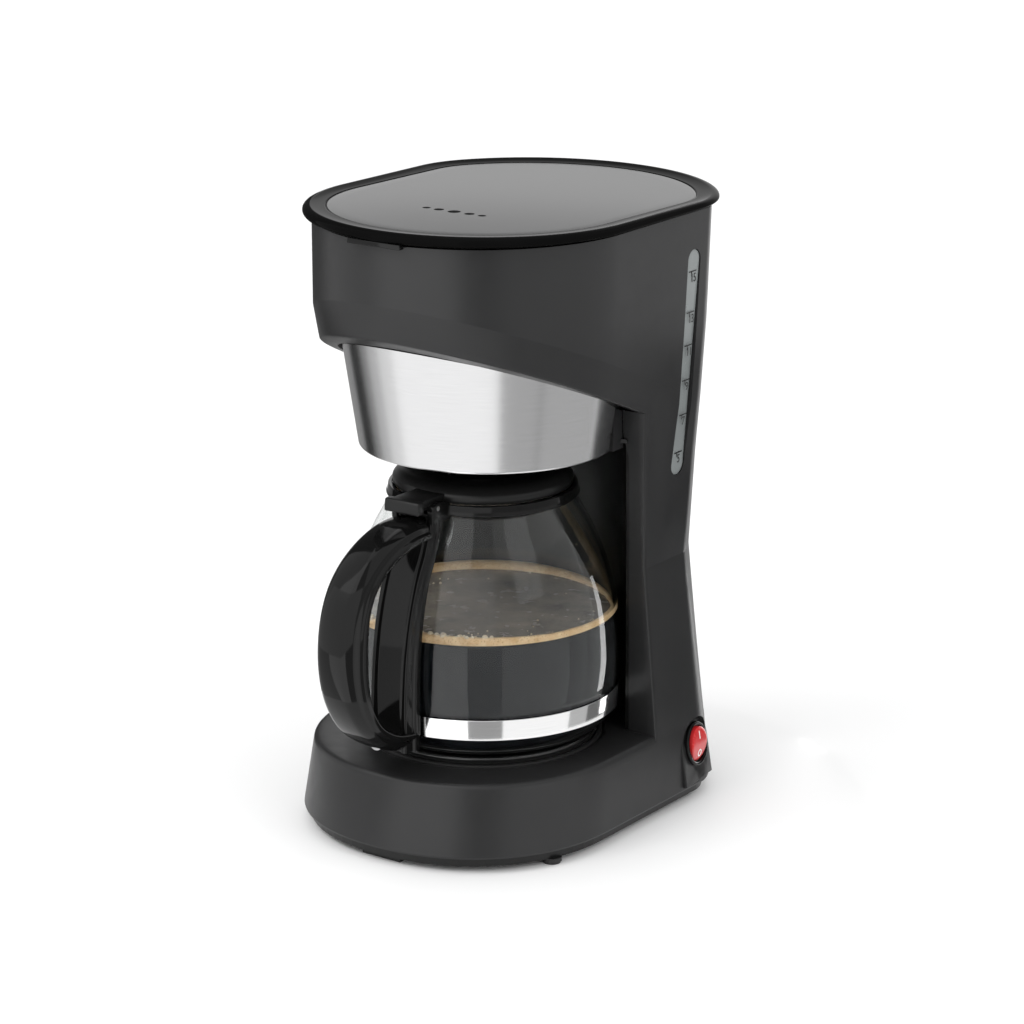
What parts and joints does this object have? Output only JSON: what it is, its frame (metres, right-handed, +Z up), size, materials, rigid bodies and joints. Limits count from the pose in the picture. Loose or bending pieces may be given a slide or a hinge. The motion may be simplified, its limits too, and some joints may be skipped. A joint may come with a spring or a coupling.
{
  "type": "drip coffee maker",
  "caption": "Drip coffee maker with a hinged lid, steel-banded brew head, level window, rocker switch, warming plate and glass carafe.",
  "frame": {"origin": "centre of the footprint on the surface that the feet stand on", "axes": "+Z up, -Y towards the carafe and its handle (the front), +X towards the switch and level window"},
  "size_m": [0.1786, 0.2709, 0.325],
  "materials": {
    "charcoal_plastic": "fine matte moulded plastic",
    "gloss_black": "polished moulded plastic",
    "matte_black": "plain moulded plastic",
    "lid_panel": "polished dark grey panel",
    "tank_plastic": "translucent moulded plastic",
    "level_window": "frosted translucent plastic",
    "print_black": "printed marks",
    "brushed_steel": "brushed round the band",
    "bright_steel": "polished",
    "screw_steel": "zinc plated",
    "plate_enamel": "black non-stick coating",
    "element_alu": "extruded",
    "carafe_glass": "clear",
    "silicone": "translucent silicone",
    "rubber": "matte",
    "valve_orange": "silicone",
    "ceramic_white": "heat-proof moulding",
    "brass": "plain",
    "wire_blue": "insulation",
    "rocker_red": "clear red moulding",
    "filter_gold": "fine mesh in a moulded frame"
  },
  "bodies": {
    "machine": {"base_housing": "charcoal_plastic", "bottom_plate": "matte_black", "rubber_feet": "rubber", "bottom_screws": "screw_steel", "upper_housing": "charcoal_plastic", "housing_screws": "screw_steel", "column_cover": "matte_black", "water_tank": "tank_plastic", "level_window": "level_window", "level_marks": "print_black", "brew_funnel": "matte_black", "steel_band": "brushed_steel", "water_spout": "matte_black", "riser_hose": "silicone", "cold_water_hose": "silicone", "check_valve": "valve_orange", "hose_clamps": "screw_steel", "warming_plate": "plate_enamel", "plate_seal": "rubber", "heating_element": "element_alu", "element_clamp": "screw_steel", "thermostat": "ceramic_white", "thermal_fuses": "ceramic_white", "switch_body": "matte_black", "switch_terminals": "brass", "terminal_block": "ceramic_white", "wire_harness": "wire_blue", "cord_gland": "rubber", "hinge_pin": "screw_steel", "drip_spring": "screw_steel"},
    "basket": {"filter_basket": "gloss_black", "mesh_filter": "filter_gold"},
    "valve": {"drip_valve": "matte_black", "valve_seal": "silicone"},
    "top_lid": {"lid": "gloss_black", "lid_panel": "lid_panel", "lid_liner": "matte_black"},
    "switch_rocker": {"rocker": "rocker_red"},
    "carafe": {"carafe_glass": "carafe_glass", "carafe_band": "bright_steel", "carafe_collar": "gloss_black", "handle_grip": "gloss_black", "handle_strap": "gloss_black", "handle_screws": "screw_steel", "carafe_hinge_pin": "screw_steel"},
    "pour_lid": {"carafe_lid": "matte_black"}
  },
  "joints": [
    {"name": "lid_hinge", "type": "hinge", "parent": "machine", "child": "top_lid", "pos_m": [0, 0.1322, 0.3135], "axis": [-1, 0, 0], "range_deg": [0, 95]},
    {"name": "basket_lift", "type": "slide", "parent": "machine", "child": "basket", "axis": [0, 0, 1], "range_m": [0, 0.004]},
    {"name": "drip_valve_slide", "type": "slide", "parent": "machine", "child": "valve", "axis": [0, 0, 1], "range_m": [0, 0.004], "stiffness_N_per_m": 200, "springref_m": -0.002, "deforming": ["drip_spring"]},
    {"name": "rocker_tilt", "type": "hinge", "parent": "machine", "child": "switch_rocker", "pos_m": [0.0836, 0.071, 0.03], "axis": [0.1392, -0.9903, 0], "range_deg": [0, 16]},
    {"name": "carafe_slide", "type": "slide", "parent": "machine", "child": "carafe", "axis": [0, -1, 0], "range_m": [0, 0.2]},
    {"name": "pour_lid_hinge", "type": "hinge", "parent": "carafe", "child": "pour_lid", "pos_m": [0, -0.0615, 0.179], "axis": [1, 0, 0], "range_deg": [0, 3]}
  ]
}
